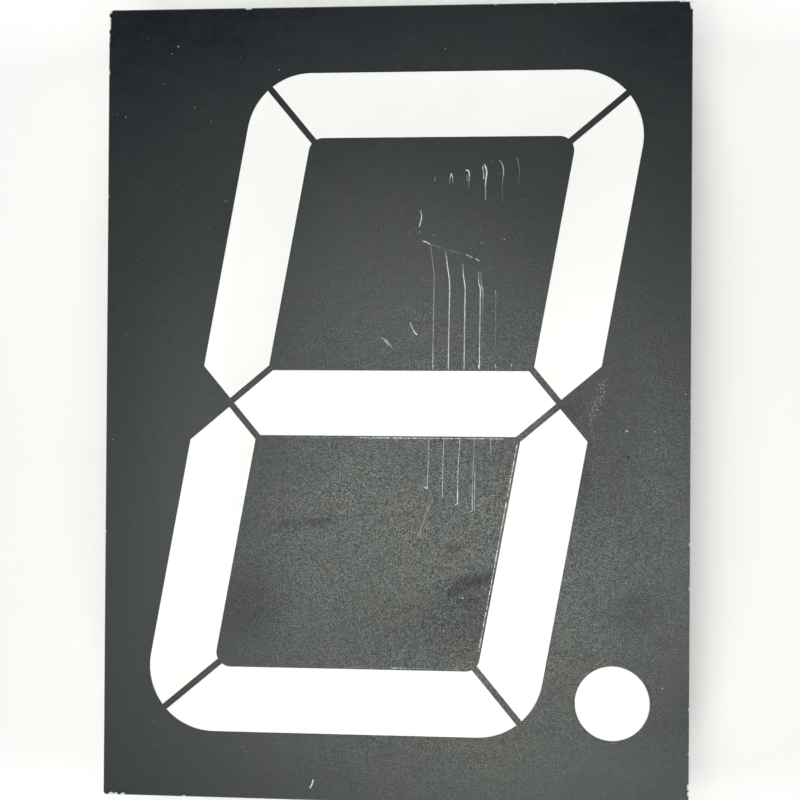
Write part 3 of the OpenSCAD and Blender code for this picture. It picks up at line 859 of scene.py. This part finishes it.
def inside(p, loop):
    hit = False
    for a, b in zip(loop, loop[1:] + loop[:1]):
        if (a.y > p.y) != (b.y > p.y) and p.x < a.x + (p.y - a.y) * (b.x - a.x) / (b.y - a.y):
            hit = not hit
    return hit


def build_fill(node):
    """A fill with a softened rim and the shallow hollow that the resin leaves as it sets."""
    bm = welded(node)
    top = [f for f in bm.faces if f.normal.z > 0.9 and all(abs(v.co.z / MM - Z_FACE) < 0.004 for v in f.verts)]
    step = {}
    for f in top:
        for l in f.loops:
            if sum(g in top for g in l.edge.link_faces) == 1:
                step[l.vert] = l.link_loop_next.vert
    ring = [min(step, key=lambda v: (v.co.x, v.co.y))]
    while step[ring[-1]] is not ring[0]:
        ring.append(step[ring[-1]])
    bmesh.ops.delete(bm, geom=top, context="FACES")
    loop = [Vector((v.co.x, v.co.y)) / MM for v in ring]
    rings = [ring]
    for v in ring:
        v.co.z = (Z_FACE - 0.07) * MM
    for by, z in ((0.02, 0.02), (0.07, 0.0)):
        rings.append([bm.verts.new((q.x * MM, q.y * MM, (Z_FACE - z) * MM)) for q in inward(loop, by)])
    n = len(ring)
    for r0, r1 in zip(rings, rings[1:]):
        for i in range(n):
            bm.faces.new((r0[i], r0[(i + 1) % n], r1[(i + 1) % n], r1[i]))
    rim = inward(loop, 0.07)
    grid = inward(loop, 0.30)
    lo, hi = (Vector((f(q.x for q in loop), f(q.y for q in loop))) for f in (min, max))
    pitch = 1.1
    for i in range(int((hi.x - lo.x) / pitch) + 1):
        for j in range(int((hi.y - lo.y) / (pitch * 0.866)) + 1):
            q = Vector((lo.x + (i + 0.5 * (j % 2)) * pitch, lo.y + j * pitch * 0.866))
            if inside(q, loop):
                grid.append(q)
    far = edge_distance(grid, loop)
    grid = [q for k, q in enumerate(grid) if inside(q, rim) and far[k] > (0.22 if k < n else 0.75)]
    flat, _, tri, origin, _, owner = delaunay_2d_cdt(rim + grid, [], [list(range(n))], 0, 1e-6, True)
    tri = [t for t, o in zip(tri, owner) if o]
    depth = edge_distance(flat, rim)
    made = []
    for q, d, o in zip(flat, depth, origin):
        if o and o[0] < n:
            made.append(rings[-1][o[0]])
        else:
            made.append(bm.verts.new((q.x * MM, q.y * MM, (Z_FACE - 0.09 * (1 - math.exp(-d / 1.3))) * MM)))
    for t in tri:
        bm.faces.new([made[i] for i in t])
    ob = piece(node + "_fill", bm, RESIN, sharp_deg=50)
    weighted(ob)
    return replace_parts(ob, node)


for n in ["segment_" + s for s in "abcdefg"] + ["decimal_point"]:
    build_fill(n)


# ------------------------------------------------------------------ housing
def build_housing():
    """The moulding, with the edges of its rear rim and pads eased as moulded edges are."""
    bm = welded("housing")
    ease, leg, rim_w = 0.14, 8.0, 1.6
    rim_z = 0.6

    def cut(co, no, top):
        faces = [f for f in bm.faces if max(v.co.z for v in f.verts) / MM < top]
        geom = list({v for f in faces for v in f.verts} | {e for f in faces for e in f.edges}) + faces
        bmesh.ops.bisect_plane(bm, geom=geom, dist=1e-8, plane_co=Vector(co) * MM, plane_no=no)

    cut((0, 0, rim_z + ease), (0, 0, 1), 99)
    for sx in (-1, 1):
        cut((sx * (HX - leg), 0, 0), (1, 0, 0), rim_z + ease + 0.01)
        cut((0, sx * (HY - leg), 0), (0, 1, 0), rim_z + ease + 0.01)
    cut((0, 0, ease), (0, 0, 1), rim_z + ease + 0.01)
    for v in bm.verts:                   # rim: its outer and inner edges
        x, y, z = v.co / MM
        if abs(z - rim_z) > 0.002:
            continue
        for k, (c, half, other, span) in enumerate(((x, HX, y, HY - leg), (y, HY, x, HX - leg))):
            if abs(other) < span + 0.01:
                if abs(abs(c) - half) < 0.005:
                    v.co[k] -= math.copysign(ease, c) * MM
                elif abs(abs(c) - (half - rim_w)) < 0.005:
                    v.co[k] += math.copysign(ease, c) * MM
    for f in [f for f in bm.faces if all(abs(v.co.z) < 2e-6 for v in f.verts)]:      # pads
        loop = [Vector((v.co.x, v.co.y)) / MM for v in f.verts]
        flip = signed_area(loop) < 0
        moved = inward(loop[::-1] if flip else loop, ease)
        for v, q in zip(f.verts, moved[::-1] if flip else moved):
            v.co.x, v.co.y = q.x * MM, q.y * MM
    ob = piece("housing_body", bm, PLASTIC, sharp_deg=50)
    weighted(ob)
    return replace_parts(ob, "housing")


housing = build_housing()


# ------------------------------------------------------------------ board, tracks, pads and markings
def dress(node, material):
    me = nodes[node].data
    me.materials.clear()
    me.materials.append(material)


dress("circuit_board", BOARD)
for i in range(1, 13):
    dress("pin_%d" % i, PIN)
for s in list("abcdefg") + ["dp"]:
    dress("leds_" + s, LED)


def strip(bm, path, width, z0, z1):
    """A flat raised strip along a path, mitred at its corners, with half round ends."""
    p = [Vector(q) for q in path]
    n = len(p)
    left, right = [], []
    for i in range(n):
        d0 = (p[i] - p[i - 1]).normalized() if i else (p[1] - p[0]).normalized()
        d1 = (p[i + 1] - p[i]).normalized() if i < n - 1 else d0
        t = (d0 + d1).normalized()
        s = Vector((-t.y, t.x)) * (width / 2 / max(0.3, t.dot(d1)))
        left.append(p[i] + s)
        right.append(p[i] - s)

    def cap(c, d):
        a0 = math.atan2(d.y, d.x)
        return [c + Vector((math.cos(a0 + a), math.sin(a0 + a))) * width / 2 for a in (-1.05, -0.52, 0.0, 0.52, 1.05)]

    ring = right + cap(p[-1], p[-1] - p[-2]) + left[::-1] + cap(p[0], p[0] - p[1])
    prism(bm, ring, z0, z1, 0.03)


def prism(bm, ring, z0, z1, ease=0.0):
    """A closed slab on z0 standing down to z1; the ease argument is not used."""
    c = sum(ring, Vector((0, 0))) / len(ring)
    base = [bm.verts.new((q.x * MM, q.y * MM, z0 * MM)) for q in ring]
    tip = [bm.verts.new((q.x * MM, q.y * MM, z1 * MM)) for q in ring]
    n = len(ring)
    for i in range(n):
        bm.faces.new((base[i], base[(i + 1) % n], tip[(i + 1) % n], tip[i]))
    bm.faces.new(base)
    bm.faces.new(tip)


def disc(c, r, n=28):
    return [Vector((c[0] + r * math.cos(2 * math.pi * i / n), c[1] + r * math.sin(2 * math.pi * i / n))) for i in range(n)]


def washer(bm, c, r0, r1, z0, z1, n=28):
    rings = []
    for r, z in ((r0, z0), (r1, z0), (r1 - 0.02, z1), (r0, z1)):
        rings.append([bm.verts.new((q.x * MM, q.y * MM, z * MM)) for q in disc(c, r, n)])
    for k in range(4):
        a, b = rings[k], rings[(k + 1) % 4]
        for i in range(n):
            bm.faces.new((a[i], a[(i + 1) % n], b[(i + 1) % n], b[i]))


ROUTES = {
    12: [(-6.35, 51.5), (-24.0, 33.85), (-24.0, 12.0)],
    11: [(-3.81, 49.0), (-14.0, 38.81), (-14.0, 2.5), (-11.5, 0.0), (-6.0, 0.0)],
    10: [(-1.27, 14.0), (0.3, 12.43), (0.3, -36.0), (-1.27, -37.57)],
    9: [(1.27, 48.5), (6.5, 43.27), (9.0, 43.27)],
    8: [(3.81, 51.0), (27.0, 27.81), (27.0, 12.0)],
    7: [(6.35, 53.0), (33.5, 25.85), (33.5, -37.5)],
    1: [(-6.35, -52.0), (-28.0, -30.35), (-28.0, -10.0)],
    2: [(-3.81, -50.0), (-6.8, -47.0), (-6.8, -43.0)],
    4: [(1.27, -48.5), (18.0, -31.77), (18.0, -22.0), (22.0, -18.0), (22.0, -10.0)],
    5: [(3.81, -51.5), (13.0, -42.31), (28.0, -42.31)],
    6: [(6.35, -53.3), (9.4, -50.25), (31.0, -50.25), (36.0, -45.25)],
}
LINKS = [
    [(-1.27, 40.0), (-8.0, 33.27), (-8.0, 22.0), (-10.5, 19.5)], [(0.3, -12.0), (-5.7, -18.0), (-24.0, -18.0)],
    [(-1.27, 28.0), (8.0, 37.27), (14.0, 37.27)], [(0.3, -29.0), (-7.43, -36.73), (-17.0, -36.73)],
    [(0.3, 6.0), (9.3, 15.0), (22.0, 15.0)], [(0.3, -4.0), (9.3, -13.0), (16.0, -13.0)], [(0.3, -33.0), (5.0, -37.7)],
]
bm = bmesh.new()
for i, path in ROUTES.items():
    start = (PINS[i - 1].x, PINS[i - 1].y)
    full = [start] + path + ([(PINS[2].x, PINS[2].y)] if i == 10 else [])
    strip(bm, full, 1.2 if i == 10 else 0.8, BOARD_BACK, BOARD_BACK - 0.035)
for path in LINKS:
    strip(bm, path, 0.8, BOARD_BACK, BOARD_BACK - 0.033)
vias = sorted({path[-1] for i, path in ROUTES.items() if i != 10} | {path[-1] for path in LINKS})
for c in vias:
    washer(bm, c, 0.22, 0.72, BOARD_BACK, BOARD_BACK - 0.05, 20)
tracks = piece("board_tracks", bm, TRACK, sharp_deg=30)

bm = bmesh.new()
for i, p in enumerate(PINS):
    if i == 0:                           # the first pin's pad is square
        q = 1.12
        prism(bm, [Vector((p.x + a * q, p.y + b * q)) for a, b in ((-1, -1), (1, -1), (1, 1), (-1, 1))], BOARD_BACK, BOARD_BACK - 0.06)
    else:
        washer(bm, (p.x, p.y), 0.52, 1.16, BOARD_BACK, BOARD_BACK - 0.06)
pads = piece("solder_pads", bm, SOLDER, sharp_deg=35)

bm = bmesh.new()
for y in (PINS[0].y, PINS[6].y):
    box = rounded_rect(8.3, 1.75, 0.5, 5, 20.0)
    shift = Vector((0, y))
    outer = [q + shift for q in box]
    inner = [q + shift for q in rounded_rect(8.1, 1.55, 0.3, 5, 20.0)]
    ring = [[bm.verts.new((q.x * MM, q.y * MM, z * MM)) for q in loop] for loop, z in ((inner, BOARD_BACK), (outer, BOARD_BACK), (outer, BOARD_BACK - 0.02), (inner, BOARD_BACK - 0.02))]
    n = len(outer)
    for k in range(4):
        for i in range(n):
            bm.faces.new((ring[k][i], ring[k][(i + 1) % n], ring[(k + 1) % 4][(i + 1) % n], ring[(k + 1) % 4][i]))
prism(bm, disc((PINS[0].x - 2.9, PINS[0].y), 0.5, 20), BOARD_BACK, BOARD_BACK - 0.02)
for c in ((-30.0, 42.0), (30.0, 42.0), (-30.0, -42.0)):     # plain alignment marks
    for a in (0, 1):
        d = Vector((1.4, 0)) if a == 0 else Vector((0, 1.4))
        strip(bm, [Vector(c) - d, Vector(c) + d], 0.2, BOARD_BACK, BOARD_BACK - (0.02 if a == 0 else 0.022))
silk = piece("board_marking", bm, SILK)


# ------------------------------------------------------------------ solder fillets
def build_solder():
    """Twelve wetted fillets: hollow cones on the back, small caps at the front, solder in the holes between."""
    bm = bmesh.new()
    r = random.Random(12)
    n = 28
    for p in PINS:
        lean, size = r.uniform(0, 2 * math.pi), r.uniform(0.94, 1.0)
        profile = [(0.35, 0.92)]
        for i in range(9):               # from the pin out to the pad, hollow
            t = i / 8
            profile.append((0.41 + 0.59 * size * t ** 2.3, 0.92 + (BOARD_BACK - 0.92) * (1 - (1 - t) ** 1.25) ** 0.8))
        profile[-1] = (1.0 * size, BOARD_BACK)
        profile += [(0.5, BOARD_BACK), (0.5, BOARD_FRONT), (0.8, BOARD_FRONT), (0.55, BOARD_FRONT + 0.22), (0.42, BOARD_FRONT + 0.5), (0.35, BOARD_FRONT + 0.58)]
        rings = []
        for rad, z in profile:
            ring = []
            for i in range(n):
                a = 2 * math.pi * i / n
                wave = 1.0 - (0.035 * (0.5 + 0.5 * math.cos(a - lean)) if 0.45 < rad < 1.0 and z < BOARD_BACK else 0.0)
                ring.append(bm.verts.new(((p.x + rad * wave * math.cos(a)) * MM, (p.y + rad * wave * math.sin(a)) * MM, z * MM)))
            rings.append(ring)
        for k in range(len(rings)):
            a, b = rings[k], rings[(k + 1) % len(rings)]
            for i in range(n):
                bm.faces.new((a[i], a[(i + 1) % n], b[(i + 1) % n], b[i]))
    ob = piece("solder_fillets", bm, SOLDER, sharp_deg=50)
    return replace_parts(ob, "solder_joints")


solder = build_solder()


# ------------------------------------------------------------------ floor, light
FLOOR_Z = cad_box[0][2] - 0.02 * MM
bm = bmesh.new()
bmesh.ops.create_grid(bm, x_segments=24, y_segments=24, size=1.6)
bmesh.ops.translate(bm, verts=bm.verts, vec=(0, 0, FLOOR_Z))
me = bpy.data.meshes.new("floor")
bm.to_mesh(me)
bm.free()
floor = bpy.data.objects.new("floor", me)
scene.collection.objects.link(floor)
me.materials.append(floor_look())


def softbox(name, place, size, power, color, aim=(0, 0, 0.01)):
    light = bpy.data.lights.new(name, "AREA")
    light.shape = "RECTANGLE"
    light.size, light.size_y = size
    light.energy = power
    light.color = color
    ob = bpy.data.objects.new(name, light)
    ob.location = place
    ob.rotation_euler = (Vector(aim) - Vector(place)).to_track_quat("-Z", "Y").to_euler()
    ob.visible_camera = False
    scene.collection.objects.link(ob)
    return ob


for i, (az, watts) in enumerate(((0, 3.3), (90, 3.1), (180, 3.3), (270, 3.5))):
    a = math.radians(az)
    softbox("side_%d" % i, (0.80 * math.cos(a), 0.80 * math.sin(a), 0.47), (0.55, 0.40), watts, (1.0, 0.995, 0.98))
softbox("overhead", (-0.050, -0.084, 0.80), (0.30, 0.30), 1.74, (0.955, 1.0, 0.925))

world = bpy.data.worlds.new("studio")
scene.world = world
world.use_nodes = True
wt = world.node_tree
wt.nodes.clear()
w_out = wt.nodes.new("ShaderNodeOutputWorld")
w_bg = wt.nodes.new("ShaderNodeBackground")
w_tc = wt.nodes.new("ShaderNodeTexCoord")
w_xyz = wt.nodes.new("ShaderNodeSeparateXYZ")
w_map = wt.nodes.new("ShaderNodeMapRange")
w_mix = wt.nodes.new("ShaderNodeMix")
w_mix.data_type = "RGBA"
wt.links.new(w_tc.outputs["Generated"], w_xyz.inputs[0])
wt.links.new(w_xyz.outputs[2], w_map.inputs["Value"])
w_map.inputs["From Min"].default_value = 0.1
w_map.inputs["From Max"].default_value = 0.9
wt.links.new(w_map.outputs["Result"], w_mix.inputs[0])
w_mix.inputs[6].default_value = (0.80, 0.81, 0.82, 1)
w_mix.inputs[7].default_value = (0.05, 0.055, 0.062, 1)
wt.links.new(w_mix.outputs[2], w_bg.inputs["Color"])
w_bg.inputs["Strength"].default_value = 0.55
w_pale = wt.nodes.new("ShaderNodeBackground")               # what shows behind the part
w_pale.inputs["Color"].default_value = (0.93, 0.93, 0.925, 1)
w_path = wt.nodes.new("ShaderNodeLightPath")
w_join = wt.nodes.new("ShaderNodeMixShader")
wt.links.new(w_path.outputs["Is Camera Ray"], w_join.inputs[0])
wt.links.new(w_bg.outputs[0], w_join.inputs[1])
wt.links.new(w_pale.outputs[0], w_join.inputs[2])
wt.links.new(w_join.outputs[0], w_out.inputs[0])
